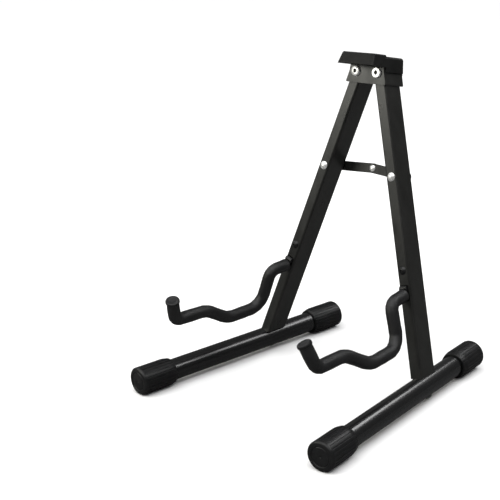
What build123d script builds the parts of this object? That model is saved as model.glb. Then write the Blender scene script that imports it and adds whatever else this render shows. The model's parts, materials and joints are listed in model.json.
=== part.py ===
from build123d import *
from math import atan, cos, radians, sin, sqrt, tan
import os

# Folding A-frame guitar stand. Millimetres, +Z up, front towards -Y, left and right along X.
# The origin is on the floor, at the centre of the stand's bounding box.

# ---------------------------------------------------------------- driving dimensions
# frame angles
leg_splay = 17.0            # each leg from the centre line, in the A plane, open
foot_cut = 11.5             # oblique cut of the leg's lower end, seen from the side
foot_toe_out = 5.7          # each foot tube from straight ahead

# legs: rectangular tube
leg_length = 312.0          # from pivot bolt to the foot tube's axis
leg_width = 12.7            # across the front face
leg_depth = 25.4            # front to back
leg_wall = 1.5
leg_corner = 2.0            # outer corner radius
leg_inner_corner = 0.8
leg_above_bolt = 8.0
bolt_half_spacing = 13.2    # pivot bolt from the centre line

# feet: round tube and rubber caps
foot_radius = 11.0
foot_wall = 1.2
foot_front = 178.0          # leg axis to the front cap's end face
foot_back = 99.0            # leg axis to the rear cap's end face
cap_wall = 3.5              # rubber round the tube
cap_mouth_wall = 1.9
cap_length = 41.0
cap_band = 27.0             # full-radius part, from the end face
cap_end_wall = 3.5
cap_edge = 2.2
cap_ring_inset = 2.5        # the end face's recessed ring, inside the tube's radius
cap_ring_width = 4.2
cap_ring_depth = 0.8

# foot bolt and its insert
bolt_radius = 3.0           # M6, pivot bolts and foot bolts
foot_bolt_head_radius = 5.4
foot_bolt_head_height = 2.4
insert_height = 20.0
insert_gap = 3.0            # insert above the foot tube's crown
foot_bolt_reach = 14.0      # thread length in the insert
foot_bolt_room = 0.3        # radial, foot tube's holes round the bolt
foot_socket_depth = 1.4

# head bracket: folded sheet box, flared towards its mouth
bracket_wall = 1.5
bracket_bottom = 11.5       # below the bolts
bracket_corner = 0.8        # folded vertical edges
bracket_lower_edge = 1.2    # rounding of the side walls' lower edges
bracket_top = 14.0          # above the bolts
bracket_shoulder = 1.2      # height where the flare starts
bracket_room = 0.35         # beside each leg, above the flare
bracket_square_top = 8.6    # the sides are upright to here, clear of the closed legs
bracket_lean = 1.4          # above it, each side leans in by this much
tongue_inset = 4.4          # tongue's ends, inside the bracket's sides
tongue_reach = 15.0
tongue_thickness = 2.0
tongue_height = 12.0        # tongue's centre above the bolts

# head pad: moulded rubber cap with a forward lip
pad_skin = 1.6
pad_top_skin = 2.4
pad_skirt = 1.2             # lower edge of the side skirt, above the bolts
pad_lip_reach = 20.0
pad_lip_bottom = 5.9
pad_lip_top = 17.9
pad_lip_overhang = 1.2      # lip's ends, outside the bracket's sides
pad_lip_slope = 4.0         # the lip's front face leans back by this much over its height
pad_rear_skirt = 7.0        # lower edge at the back, above the nuts
pad_taper = 1.9             # the boot's sides lean in by this much over their height
pad_edge = 1.2
pad_lip_taper = 2.3         # so do the lip's ends
pad_lip_edge = 1.0
pad_lip_root = 2.5          # the lip's solid runs this far into the boot

# pivot bolts
pivot_head_radius = 5.4
pivot_head_height = 3.2
pivot_socket = 4.0          # hexagon key size
pivot_socket_depth = 1.8
washer_radius = 6.0
washer_thickness = 0.8
nut_across_flats = 10.0
nut_height = 5.0
nut_collar_height = 1.4
nut_collar_radius = 4.3
bolt_tail = 0.8

# brace
brace_drop = 104.0          # pivot bolt to brace rivet, along the leg
brace_rise = 3.6            # links above level, open
link_width = 10.0
link_thickness = 1.5
brace_rivet_radius = 2.4
brace_head_radius = 4.4
brace_head_height = 2.3
brace_tail_radius = 3.4
brace_tail_height = 0.9
centre_rivet_radius = 2.0
centre_head_radius = 3.4
centre_head_height = 1.2

# arms
arm_drop = 220.3            # pivot bolt to the arm's root, along the leg
arm_droop = 13.0            # the arm's own forward line below square to the leg
arm_path = [(26.0, 1.4), (32.5, 43.8), (79.5, 43.4), (111.5, 22.9), (152.5, 20.6), (158.6, -2.8)]
arm_bends = [10.0, 18.0, 32.0, 30.0, 9.5]
rod_radius = 4.0
sleeve_wall = 2.6
sleeve_start = 3.0          # along the arm, from the leg's front face
tip_overhang = 0.6          # outside the sleeve
tip_thickness = 3.2
tip_edge = 0.9

# arm hinge
hinge_rise = 5.8            # pin above the arm's root line, square to it
hinge_pin_radius = 1.25
hinge_eye_radius = 2.6
hinge_tab = 4.6             # thickness of the flattened eye
ear_thickness = 1.4
hinge_plate_top = 24.0      # plate above the pin
hinge_plate_thickness = 1.5
hinge_ear_depth = 7.0       # ears, behind the leg's wall
hinge_screw_rise = 17.6     # screw above the pin
hinge_screw_radius = 2.0
hinge_screw_head_radius = 4.2
hinge_screw_head_height = 2.4
hinge_screw_length = 6.0
hinge_boss_radius = 3.8
hinge_socket = 2.5          # hexagon key size
hinge_socket_depth = 1.2
hinge_ear_rise = 6.0        # ears' upper end, above the clip's lower end

# clearances
running = 0.05              # radial, shaft in a hole it turns in
seat = 0.05                 # pushed-on and fitted pieces
gap = 0.3                   # between pieces that move past each other
cut = 20.0                  # overrun of cutting bodies past the surfaces they cut

# ---------------------------------------------------------------- sizes that follow
cap_radius = foot_radius + cap_wall
cap_mouth_radius = foot_radius + cap_mouth_wall
cap_ring_radius = foot_radius - cap_ring_inset
bracket_half_top = bolt_half_spacing + leg_width / 2 + bracket_room + bracket_wall
tongue_half_width = bracket_half_top - tongue_inset
pad_lip_half_width = bracket_half_top + pad_lip_overhang
sleeve_radius = rod_radius + sleeve_wall
tip_radius = sleeve_radius + tip_overhang

# ---------------------------------------------------------------- frame geometry
splay = radians(leg_splay)
lean_angle = atan(cos(splay) * tan(radians(foot_cut)))   # makes the oblique cut lie flat on the floor
toe = radians(foot_toe_out)

up = Vector(0, sin(lean_angle), cos(lean_angle))          # up, within the A plane
back = Vector(0, cos(lean_angle), -sin(lean_angle))       # square to the A plane, to the rear
side_x = Vector(1, 0, 0)

leg_up = up * cos(splay) - side_x * sin(splay)            # right leg, towards the head
leg_out = side_x * cos(splay) + up * sin(splay)           # right leg, outwards across its front face

foot_dir = Vector(-sin(toe), cos(toe), 0)                 # right foot, to the rear
foot_y = (foot_front - foot_back) / 2 * cos(toe)
front_gap = bracket_wall + washer_thickness + running     # bracket's front face to the leg's front face
bracket_depth = 2 * front_gap + leg_depth

# right foot's axis under the leg, then back up the leg to the head's origin
foot_drop = leg_up * leg_length
leg_centre = back * (front_gap + leg_depth / 2)
foot_point = Vector(
    bolt_half_spacing + leg_length * sin(splay),
    foot_y,
    cap_radius,
)
head_origin = foot_point + foot_drop - leg_centre - side_x * bolt_half_spacing

# head frame: X across, Y to the rear, Z up in the A plane;
# its origin is between the bolts, on the bracket's front face
head_frame = Plane(origin=head_origin, x_dir=side_x, z_dir=up).location
# right leg frame: X outwards, Y to the rear, Z up the leg; origin on the front face at the pivot
leg_origin = head_origin + side_x * bolt_half_spacing + back * front_gap
leg_frame = Plane(origin=leg_origin, x_dir=leg_out, z_dir=leg_up).location
# right foot frame: Z along the tube to the rear
foot_frame = Plane(origin=foot_point, x_dir=Vector(cos(toe), sin(toe), 0), z_dir=foot_dir).location

# arm frame, in the leg frame: X forward along the arm, Y down, Z outwards; origin at the arm's root
droop = radians(arm_droop)
arm_frame = Plane(
    origin=(0, 0, -arm_drop),
    x_dir=(0, -cos(droop), -sin(droop)),
    z_dir=(1, 0, 0),
).location
pin_y = -hinge_rise * sin(droop)                          # the hinge pin, just ahead of the leg's front face
pin_z = -arm_drop + hinge_rise * cos(droop)

nodes = {}


def rounded_bar(width, depth, height, radius):
    """A bar with rounded long edges, its foot centred on the origin."""
    return extrude(RectangleRounded(width, depth, radius), height)


def along_y(radius, length, start=0.0):
    """A cylinder along +Y from start."""
    return Location((0, start, 0), (-90, 0, 0)) * Cylinder(
        radius, length, align=(Align.CENTER, Align.CENTER, Align.MIN)
    )


def button_head(radius, height):
    """A low domed head that stands on the origin and points along +Z."""
    crown = (radius**2 + height**2) / (2 * height)
    dome = Pos(0, 0, height - crown) * Sphere(crown)
    body = Cylinder(radius, height, align=(Align.CENTER, Align.CENTER, Align.MIN))
    return body & dome


def hex_bar(across_flats, height):
    """A hexagonal bar that stands on the origin."""
    return extrude(RegularPolygon(across_flats / 2, 6, major_radius=False), height)


def mirrored(shape):
    """The left-hand copy of a right-hand piece."""
    return mirror(shape, about=Plane.YZ)


def add_pair(name, shape):
    """A right-hand piece and its mirror image."""
    nodes["right_" + name] = shape
    nodes["left_" + name] = mirrored(shape)


# ---------------------------------------------------------------- legs
def make_foot_solid(radius):
    """A solid bar on the right foot's axis."""
    return foot_frame * Pos(0, 0, -foot_front) * Cylinder(
        radius, foot_front + foot_back, align=(Align.CENTER, Align.CENTER, Align.MIN)
    )


leg_seat = sqrt(foot_radius**2 - (leg_width / 2) ** 2)    # the side walls rest this far above the foot's axis
leg_stock = leg_length + leg_depth                        # cut back to the foot's seat
slot_width = hinge_tab + 4 * gap + 2 * ear_thickness      # room for the eye and the ears


def make_leg():
    """The right leg tube with its bores, hinge slot and foot seat."""
    total = leg_stock + leg_above_bolt
    outer = rounded_bar(leg_width, leg_depth, total, leg_corner)
    inner = rounded_bar(leg_width - 2 * leg_wall, leg_depth - 2 * leg_wall, total, leg_inner_corner)
    tube = Pos(0, leg_depth / 2, -leg_stock) * (outer - inner)
    tube -= along_y(bolt_radius + running, leg_depth)
    tube -= Pos(0, 0, -brace_drop) * along_y(brace_rivet_radius + seat, leg_depth)
    tube -= Pos(0, 0, pin_z + hinge_screw_rise) * along_y(hinge_screw_radius + seat, leg_wall * 2)
    slot_top = pin_z + hinge_eye_radius + 2 * gap
    slot_bottom = -arm_drop - rod_radius - gap
    slot = Box(slot_width, 4 * leg_wall, slot_top - slot_bottom)
    tube -= Pos(0, 0, (slot_top + slot_bottom) / 2) * slot
    tube = leg_frame * tube
    cut_level = cap_radius + leg_seat
    block = 4 * leg_depth
    below = Pos(foot_point.X, foot_point.Y, cut_level) * Box(
        block, block, block, align=(Align.CENTER, Align.CENTER, Align.MAX)
    )
    return tube - below - make_foot_solid(foot_radius + seat)


add_pair("leg", make_leg())

# ---------------------------------------------------------------- foot tubes, bolts and inserts
# each foot bolt crosses its tube squarely and runs up inside the leg
bolt_up = (leg_up - foot_dir * leg_up.dot(foot_dir)).normalized()
bolt_frame = Plane(origin=foot_point, x_dir=foot_dir, z_dir=bolt_up).location
insert_frame = leg_frame * Pos(0, leg_depth / 2, -leg_length)


def make_foot_tube():
    """The right foot tube, drilled for its bolt."""
    start = -foot_front + cap_end_wall
    length = foot_front + foot_back - 2 * cap_end_wall
    ring = Circle(foot_radius) - Circle(foot_radius - foot_wall)
    tube = foot_frame * Pos(0, 0, start) * extrude(ring, length)
    drill = bolt_frame * Cylinder(bolt_radius + foot_bolt_room, 4 * foot_radius)
    return tube - drill


def make_insert():
    """The threaded block in the right leg's lower end."""
    width = leg_width - 2 * leg_wall - 2 * seat
    depth = leg_depth - 2 * leg_wall - 2 * seat
    block = rounded_bar(width, depth, insert_height, leg_inner_corner)
    block = insert_frame * Pos(0, 0, foot_radius + insert_gap) * block
    return block - bolt_frame * Cylinder(bolt_radius + seat, 2 * leg_length)


def make_foot_bolt():
    """The right foot's bolt, driven up through the tube."""
    head_level = foot_radius + foot_bolt_head_height - foot_socket_depth
    shank_length = head_level + foot_radius + insert_gap + foot_bolt_reach
    shank = Pos(0, 0, -head_level) * Cylinder(
        bolt_radius, shank_length, align=(Align.CENTER, Align.CENTER, Align.MIN)
    )
    head = button_head(foot_bolt_head_radius, foot_bolt_head_height)
    head = Pos(0, 0, -foot_radius) * Rot(180, 0, 0) * head
    socket = Pos(0, 0, -foot_radius - foot_bolt_head_height) * hex_bar(pivot_socket, foot_socket_depth)
    return bolt_frame * (shank + head - socket)


add_pair("foot_tube", make_foot_tube())
add_pair("foot_insert", make_insert())
add_pair("foot_bolt", make_foot_bolt())


def make_cap():
    """A push-on foot cap: closed end at the origin, mouth towards +Z."""
    profile = Polyline(
        (0, 0),
        (cap_radius, 0),
        (cap_radius, cap_band),
        (cap_mouth_radius, cap_length),
        (0, cap_length),
        close=True,
    )
    body = revolve(Plane.XZ * make_face(profile), Axis.Z)
    rim = [e for e in body.edges().filter_by(GeomType.CIRCLE) if abs(e.center().Z) < 0.01]
    body = fillet(rim, cap_edge)
    bore = Pos(0, 0, cap_end_wall) * Cylinder(
        foot_radius + seat, cap_length, align=(Align.CENTER, Align.CENTER, Align.MIN)
    )
    ring = Circle(cap_ring_radius) - Circle(cap_ring_radius - cap_ring_width)
    recess = extrude(ring, cap_ring_depth)
    return body - bore - recess


cap = make_cap()
add_pair("front_cap", foot_frame * Pos(0, 0, -foot_front) * cap)
add_pair("rear_cap", foot_frame * Pos(0, 0, foot_back) * Rot(180, 0, 0) * cap)

# ---------------------------------------------------------------- head bracket and pad
# the flare follows the open leg's outer face, one gap outside it
leg_edge_bottom = bolt_half_spacing + bracket_bottom * tan(splay) + leg_width / 2 / cos(splay)
bracket_half_bottom = leg_edge_bottom + gap + bracket_wall


def bracket_outline(inset, top, bottom):
    """The bracket seen from the front, inset by a wall, its flare carried on to any lower edge."""
    flare = (bracket_half_bottom - bracket_half_top) / (bracket_bottom + bracket_shoulder)
    half_top = bracket_half_top - inset
    half_bottom = half_top + flare * (bottom + bracket_shoulder)
    return make_face(
        Polyline(
            (-half_bottom, -bottom),
            (-half_top, bracket_shoulder),
            (-half_top, bracket_square_top),
            (-half_top + bracket_lean, top),
            (half_top - bracket_lean, top),
            (half_top, bracket_square_top),
            (half_top, bracket_shoulder),
            (half_bottom, -bottom),
            close=True,
        )
    )


def tapered_outline(half, bottom, top, taper):
    """A block seen from the front, its two sides leaning in by taper from bottom to top."""
    return make_face(
        Polyline(
            (-half, bottom),
            (taper - half, top),
            (half - taper, top),
            (half, bottom),
            close=True,
        )
    )


def from_front(sketch, start, depth):
    """Extrudes a front-view outline to the rear, from start."""
    return Pos(0, start, 0) * extrude(Plane.XZ * sketch, -depth)


def make_bracket():
    """The folded head bracket with its forward tongue."""
    body = from_front(bracket_outline(0, bracket_top, bracket_bottom), 0, bracket_depth)
    lower_edges = body.edges().group_by(Axis.Z)[0].filter_by(Axis.Y)
    body = fillet(lower_edges, bracket_lower_edge)
    body = fillet(body.edges().filter_by(Axis.Z), bracket_corner)
    hollow = from_front(
        bracket_outline(bracket_wall, bracket_top - bracket_wall, bracket_bottom + bracket_wall),
        bracket_wall,
        bracket_depth - 2 * bracket_wall,
    )
    tongue = Pos(0, -tongue_reach / 2 + bracket_wall / 2, tongue_height) * Box(
        2 * tongue_half_width, tongue_reach + bracket_wall, tongue_thickness
    )
    body = body - hollow + tongue
    for x in (-bolt_half_spacing, bolt_half_spacing):
        body -= Pos(x, 0, 0) * along_y(bolt_radius + seat, bracket_depth)
    return body


def make_pad():
    """The moulded head pad: a boot over the bracket with a forward lip."""
    half = bracket_half_top + pad_skin
    back_face = bracket_depth + pad_skin
    boot_outline = tapered_outline(half, pad_skirt, bracket_top + pad_top_skin, pad_taper)
    boot = from_front(boot_outline, 0, back_face)
    rear_edges = boot.edges().group_by(Axis.Y)[-1].filter_by(lambda edge: edge.center().Z > pad_skirt)
    boot = fillet(rear_edges, pad_edge)
    lip_outline = Polyline(
        (-pad_lip_reach, pad_lip_bottom),
        (-pad_lip_reach + pad_lip_slope, pad_lip_top),
        (pad_lip_root, pad_lip_top),
        (pad_lip_root, pad_lip_bottom),
        close=True,
    )
    lip = Pos(-pad_lip_half_width, 0, 0) * extrude(
        Plane.YZ * make_face(lip_outline), 2 * pad_lip_half_width
    )
    lip_front = tapered_outline(pad_lip_half_width, pad_lip_bottom, pad_lip_top, pad_lip_taper)
    lip = lip & from_front(lip_front, -pad_lip_reach, pad_lip_reach + pad_lip_root)
    front_edges = lip.edges().filter_by(lambda edge: edge.center().Y <= -pad_lip_reach + pad_lip_slope)
    lip = fillet(front_edges, pad_lip_edge)
    core = from_front(bracket_outline(-seat, bracket_top + seat, 0), 0, bracket_depth + seat)
    below_lip = Pos(0, 0, pad_lip_bottom) * Box(
        4 * half, 2 * bracket_wall, cut, align=(Align.CENTER, Align.CENTER, Align.MAX)
    )
    rear_opening = Pos(0, bracket_depth, pad_rear_skirt) * Box(
        2 * (bracket_half_top - pad_edge), cut, cut, align=(Align.CENTER, Align.CENTER, Align.MAX)
    )
    pocket = Pos(0, -tongue_reach / 2, tongue_height) * Box(
        2 * (tongue_half_width + seat), tongue_reach + 2 * seat, tongue_thickness + 2 * seat
    )
    return boot + lip - core - below_lip - rear_opening - pocket


nodes["head_bracket"] = head_frame * make_bracket()
nodes["head_pad"] = head_frame * make_pad()


# ---------------------------------------------------------------- pivot bolts
def make_pivot_bolt():
    """A button-head bolt along +Y, its head ahead of the origin."""
    shank = along_y(bolt_radius, bracket_depth + nut_height + nut_collar_height + bolt_tail)
    head = Rot(90, 0, 0) * button_head(pivot_head_radius, pivot_head_height)
    socket = Pos(0, -pivot_head_height, 0) * Rot(-90, 0, 0) * hex_bar(pivot_socket, pivot_socket_depth)
    return shank + head - socket


def make_pivot_nut():
    """A lock nut with a collar, on the bracket's back face."""
    nut = hex_bar(nut_across_flats, nut_height)
    nut += Pos(0, 0, nut_height) * Cylinder(
        nut_collar_radius, nut_collar_height, align=(Align.CENTER, Align.CENTER, Align.MIN)
    )
    nut = Pos(0, bracket_depth, 0) * Rot(-90, 0, 0) * nut
    return nut - along_y(bolt_radius + seat, bracket_depth + cut)


def make_pivot_washers():
    """The nylon washers in front of and behind one leg."""
    ring = along_y(washer_radius, washer_thickness) - along_y(bolt_radius + running, washer_thickness)
    rear = Pos(0, bracket_depth - bracket_wall - washer_thickness, 0) * ring
    return [Pos(0, bracket_wall, 0) * ring, rear]


add_pair("pivot_bolt", head_frame * Pos(bolt_half_spacing, 0, 0) * make_pivot_bolt())
add_pair("pivot_nut", head_frame * Pos(bolt_half_spacing, 0, 0) * make_pivot_nut())
washers = [
    head_frame * Pos(x, 0, 0) * washer
    for x in (-bolt_half_spacing, bolt_half_spacing)
    for washer in make_pivot_washers()
]
nodes["pivot_washers"] = Compound(children=washers)

# ---------------------------------------------------------------- brace
# the right link lies against the legs' back faces, the left link behind it
front_link_y = leg_depth + gap
rear_link_y = front_link_y + link_thickness + gap
rivet_x = bolt_half_spacing + brace_drop * sin(splay)
rivet_z = -brace_drop * cos(splay)
link_angle = radians(brace_rise)
link_length = rivet_x / cos(link_angle)
centre_z = rivet_z + link_length * sin(link_angle)


def make_link(side, y):
    """A flat link from a brace rivet to the centre rivet; side is 1 for the right, -1 for the left."""
    middle = Pos(side * rivet_x / 2, (rivet_z + centre_z) / 2)
    outline = middle * Rot(0, 0, -side * brace_rise) * SlotCenterToCenter(link_length, link_width)
    outline -= Pos(side * rivet_x, rivet_z) * Circle(brace_rivet_radius + running)
    outline -= Pos(0, centre_z) * Circle(centre_rivet_radius + seat)
    return head_frame * from_front(outline, front_gap + y, link_thickness)


def make_brace_rivet(tail_y):
    """A long rivet through a leg, in the leg frame, with its tail behind its link."""
    head = Rot(90, 0, 0) * button_head(brace_head_radius, brace_head_height)
    shank = along_y(brace_rivet_radius, tail_y + brace_tail_height / 2)
    tail = Pos(0, tail_y, 0) * Rot(-90, 0, 0) * button_head(brace_tail_radius, brace_tail_height)
    return leg_frame * Pos(0, 0, -brace_drop) * (head + shank + tail)


def make_spacer(start, end):
    """A washer that fills the room between a leg and its link."""
    ring = along_y(brace_tail_radius, end - start, start)
    ring -= along_y(brace_rivet_radius + seat, end - start, start)
    return leg_frame * Pos(0, 0, -brace_drop) * ring


def make_centre_half(y, head_at_front):
    """One half of the centre rivet: its shank in a link, its head on that link's outer face."""
    shank = along_y(centre_rivet_radius, link_thickness)
    head = button_head(centre_head_radius, centre_head_height)
    if head_at_front:
        head = Rot(90, 0, 0) * head
    else:
        head = Pos(0, link_thickness, 0) * Rot(-90, 0, 0) * head
    return head_frame * Pos(0, front_gap + y, centre_z) * (shank + head)


nodes["right_brace_link"] = make_link(1, front_link_y)
nodes["left_brace_link"] = make_link(-1, rear_link_y)
nodes["right_brace_rivet"] = make_brace_rivet(front_link_y + link_thickness + running)
nodes["left_brace_rivet"] = mirrored(make_brace_rivet(rear_link_y + link_thickness + running))
nodes["left_brace_spacer"] = mirrored(make_spacer(leg_depth, rear_link_y - running))
nodes["right_centre_rivet"] = make_centre_half(front_link_y, head_at_front=True)
nodes["left_centre_rivet"] = make_centre_half(rear_link_y, head_at_front=False)


# ---------------------------------------------------------------- arms
def arm_line(start):
    """The arm's centre line in its own plane, from start along the first run."""
    begin = Vector(*arm_path[0]).normalized() * start
    return FilletPolyline((begin.X, begin.Y), *arm_path, radius=arm_bends)


def sweep_round(radius, path):
    """A round bar along a path."""
    section = Plane(origin=path @ 0, z_dir=path % 0) * Circle(radius)
    return sweep(section, path)


def make_arm_rod():
    """The bent rod with its flattened hinge eye, in the arm frame."""
    rod = sweep_round(rod_radius, arm_line(sleeve_start - seat))
    web = rod_radius * 0.8                                # half height of the eye's neck
    tab = make_face(
        Polyline(
            (-hinge_eye_radius, -hinge_rise),
            (-hinge_eye_radius, 0),
            (-hinge_eye_radius * 0.2, web),
            (sleeve_start + web, web),
            (sleeve_start + web, -web),
            (sleeve_start - seat, -web),
            (hinge_eye_radius, -hinge_rise),
            close=True,
        )
    )
    tab += Pos(0, -hinge_rise) * Circle(hinge_eye_radius)
    tab = Pos(0, 0, -hinge_tab / 2) * extrude(tab, hinge_tab)
    pin_hole = Pos(0, -hinge_rise, 0) * Cylinder(hinge_pin_radius + running, 4 * hinge_tab)
    return rod + tab - pin_hole


def make_arm_sleeve():
    """The foam sleeve round the rod."""
    outer = sweep_round(sleeve_radius, arm_line(sleeve_start))
    inner = sweep_round(rod_radius + seat, arm_line(sleeve_start))
    neck_room = Box(2 * (sleeve_start + rod_radius), 2 * rod_radius, hinge_tab + 2 * seat)
    return outer - inner - neck_room


def make_arm_tip():
    """The rubber cap on the sleeve's upturned end."""
    path = arm_line(sleeve_start)
    disc = Cylinder(tip_radius, tip_thickness, align=(Align.CENTER, Align.CENTER, Align.MIN))
    disc = fillet(disc.edges().filter_by(GeomType.CIRCLE), tip_edge)
    return Plane(origin=path @ 1, z_dir=path % 1).location * disc


def place_arm(shape):
    """From the arm frame to the right-hand arm at rest."""
    return leg_frame * arm_frame * shape


add_pair("arm_rod", place_arm(make_arm_rod()))
add_pair("arm_sleeve", place_arm(make_arm_sleeve()))
add_pair("arm_tip", place_arm(make_arm_tip()))


# ---------------------------------------------------------------- arm hinges
def make_hinge_bracket():
    """The clip inside the leg that carries the hinge pin between two ears, in the leg frame."""
    inner_face = leg_wall + seat
    half = hinge_tab / 2 + gap + ear_thickness
    plate_top = pin_z + hinge_plate_top
    plate_bottom = pin_z + hinge_eye_radius + 5 * gap     # clears the leg's slot and the arm's eye
    plate = Pos(0, inner_face + hinge_plate_thickness / 2, (plate_top + plate_bottom) / 2) * Box(
        2 * half, hinge_plate_thickness, plate_top - plate_bottom
    )
    boss = Pos(0, 0, pin_z + hinge_screw_rise) * along_y(
        hinge_boss_radius, hinge_screw_length - leg_wall, inner_face
    )
    ear = make_face(
        Polyline(
            (inner_face, plate_bottom + hinge_ear_rise),
            (leg_wall + hinge_ear_depth, plate_bottom + hinge_ear_rise),
            (leg_wall + hinge_ear_depth, pin_z),
            (pin_y + hinge_eye_radius, pin_z - hinge_eye_radius),
            (pin_y, pin_z - hinge_eye_radius),
            (pin_y, pin_z + hinge_eye_radius),
            (inner_face, pin_z + hinge_eye_radius),
            close=True,
        )
    )
    ear += Pos(pin_y, pin_z) * Circle(hinge_eye_radius)
    ear = Pos(half - ear_thickness, 0, 0) * extrude(Plane.YZ * ear, ear_thickness)
    bracket = plate + boss + ear + mirror(ear, about=Plane.YZ)
    bracket -= Pos(0, pin_y, pin_z) * Rot(0, 90, 0) * Cylinder(hinge_pin_radius + seat, 4 * half)
    return bracket - Pos(0, 0, pin_z + hinge_screw_rise) * along_y(hinge_screw_radius + seat, cut)


def make_hinge_pin():
    """The pin through the ears and the arm's eye."""
    length = hinge_tab + 2 * gap + 2 * ear_thickness
    return Pos(0, pin_y, pin_z) * Rot(0, 90, 0) * Cylinder(hinge_pin_radius, length)


def make_hinge_screw():
    """The black screw on the leg's front face."""
    head = Rot(90, 0, 0) * button_head(hinge_screw_head_radius, hinge_screw_head_height)
    shank = along_y(hinge_screw_radius, hinge_screw_length)
    socket = Pos(0, -hinge_screw_head_height, 0) * Rot(-90, 0, 0) * hex_bar(
        hinge_socket, hinge_socket_depth
    )
    return Pos(0, 0, pin_z + hinge_screw_rise) * (head + shank - socket)


add_pair("arm_hinge", leg_frame * make_hinge_bracket())
add_pair("arm_pin", leg_frame * make_hinge_pin())
add_pair("hinge_screw", leg_frame * make_hinge_screw())

# ---------------------------------------------------------------- export
os.makedirs("parts", exist_ok=True)
for name, shape in nodes.items():
    export_step(shape, f"parts/{name}.step")
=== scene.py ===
import json
import logging
import math
from dataclasses import dataclass, field, replace
from enum import Enum

import bpy
from mathutils import Matrix, Vector


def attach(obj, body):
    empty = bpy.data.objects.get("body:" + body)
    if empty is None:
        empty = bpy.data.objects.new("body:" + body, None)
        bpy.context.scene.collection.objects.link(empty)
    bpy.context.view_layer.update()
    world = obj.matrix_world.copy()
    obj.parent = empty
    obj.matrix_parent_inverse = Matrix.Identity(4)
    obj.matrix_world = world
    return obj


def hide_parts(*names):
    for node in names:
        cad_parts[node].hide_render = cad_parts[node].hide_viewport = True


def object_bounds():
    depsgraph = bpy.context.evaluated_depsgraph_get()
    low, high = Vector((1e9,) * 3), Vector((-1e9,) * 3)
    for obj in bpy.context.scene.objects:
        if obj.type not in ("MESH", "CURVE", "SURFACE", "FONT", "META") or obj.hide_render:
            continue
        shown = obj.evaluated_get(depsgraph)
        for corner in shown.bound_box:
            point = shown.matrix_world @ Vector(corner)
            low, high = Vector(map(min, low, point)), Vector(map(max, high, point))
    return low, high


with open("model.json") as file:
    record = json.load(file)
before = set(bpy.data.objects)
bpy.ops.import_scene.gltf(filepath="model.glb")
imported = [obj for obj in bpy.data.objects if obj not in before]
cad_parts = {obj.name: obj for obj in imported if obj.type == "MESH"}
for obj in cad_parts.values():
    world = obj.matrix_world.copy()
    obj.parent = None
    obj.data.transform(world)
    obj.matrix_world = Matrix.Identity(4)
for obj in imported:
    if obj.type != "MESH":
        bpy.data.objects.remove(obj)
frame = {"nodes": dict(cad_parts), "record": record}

# A folding A-frame stand for a guitar: two steel legs on a sheet-metal head, a scissor brace, round tube
# feet with ribbed rubber caps, two cranked arms in foam sleeves and a moulded rubber head pad.
# Metres throughout. +Z is up, the instrument leans from -Y, and left and right lie along X.

CAD_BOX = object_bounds()
NEAR = 0.001                                     # within this a point is taken to be at a place
MERGED = 1e-6                                    # points nearer than this are joined

Piece = bpy.types.Object
Material = bpy.types.Material
Tree = bpy.types.NodeTree

log = logging.getLogger("guitar_stand")


class Side(Enum):
    """The two halves of the stand."""

    RIGHT = "right"
    LEFT = "left"


class End(Enum):
    """The two ends of a foot tube."""

    FRONT = "front"
    REAR = "rear"


class Surface(Enum):
    """What a finish is: it chooses the texture under the colour."""

    POWDER_COAT = "powder coat"
    PLATED = "plated"
    MOULDED = "moulded"
    FOAM = "foam"


# -------- the frame's own places


def joint(name: str) -> tuple[Vector, Vector]:
    """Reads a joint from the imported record.

    Args:
        name: the joint's name.

    Returns:
        Its place in metres and its unit axis.
    """
    entry = next(j for j in frame["record"]["behaviour"]["joints"] if j["name"] == name)
    return Vector(entry["pos_m"]), Vector(entry["axis"]).normalized()


def frame_matrix(origin: Vector, x_axis: Vector, y_axis: Vector, z_axis: Vector) -> Matrix:
    """A placing matrix from an origin and three unit axes.

    Args:
        origin: where the local origin goes.
        x_axis: the local X axis in the stand's frame.
        y_axis: the local Y axis in the stand's frame.
        z_axis: the local Z axis in the stand's frame.

    Returns:
        The 4 by 4 matrix.
    """
    matrix = Matrix((x_axis, y_axis, z_axis)).transposed().to_4x4()
    matrix.translation = origin
    return matrix


FORWARD = joint("left_leg_fold")[1]              # square to the A of the legs, to the front
ACROSS = Vector((1, 0, 0))
UPWARD = FORWARD.cross(ACROSS)                   # up, within the A
BRACKET_DEPTH = 0.0301                           # the head bracket, from front to rear


# -------- modelling by hand


def deselect_all() -> None:
    """Leaves no object selected."""
    bpy.ops.object.select_all(action="DESELECT")


def take_up(piece: Piece) -> None:
    """Makes one piece the only selected and the active one."""
    deselect_all()
    piece.select_set(True)
    bpy.context.view_layer.objects.active = piece


def edit() -> None:
    """Puts the active piece in edit mode."""
    bpy.ops.object.mode_set(mode="EDIT")


def leave_edit() -> None:
    """Puts the active piece back in object mode."""
    bpy.ops.object.mode_set(mode="OBJECT")


def fresh(name: str, add, **settings) -> Piece:
    """Adds a primitive, a light or a camera, with nothing else selected.

    Args:
        name: its name.
        add: the operator that adds it.
        settings: the operator's settings.

    Returns:
        The new object.
    """
    deselect_all()
    add(**settings)
    piece = bpy.context.active_object
    piece.name = name
    return piece


def open_mesh(piece: Piece, kind: str = "FACE") -> None:
    """Clears a piece's selection, ready for a choice made in object mode.

    Args:
        piece: the piece.
        kind: VERT, EDGE or FACE selection.
    """
    take_up(piece)
    edit()
    bpy.ops.mesh.select_mode(type=kind)
    bpy.ops.mesh.select_all(action="DESELECT")
    leave_edit()


def close_mesh() -> None:
    """Merges doubles, turns every face outwards and leaves edit mode."""
    bpy.ops.mesh.select_all(action="SELECT")
    bpy.ops.mesh.remove_doubles(threshold=MERGED)
    bpy.ops.mesh.normals_make_consistent(inside=False)
    leave_edit()


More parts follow.
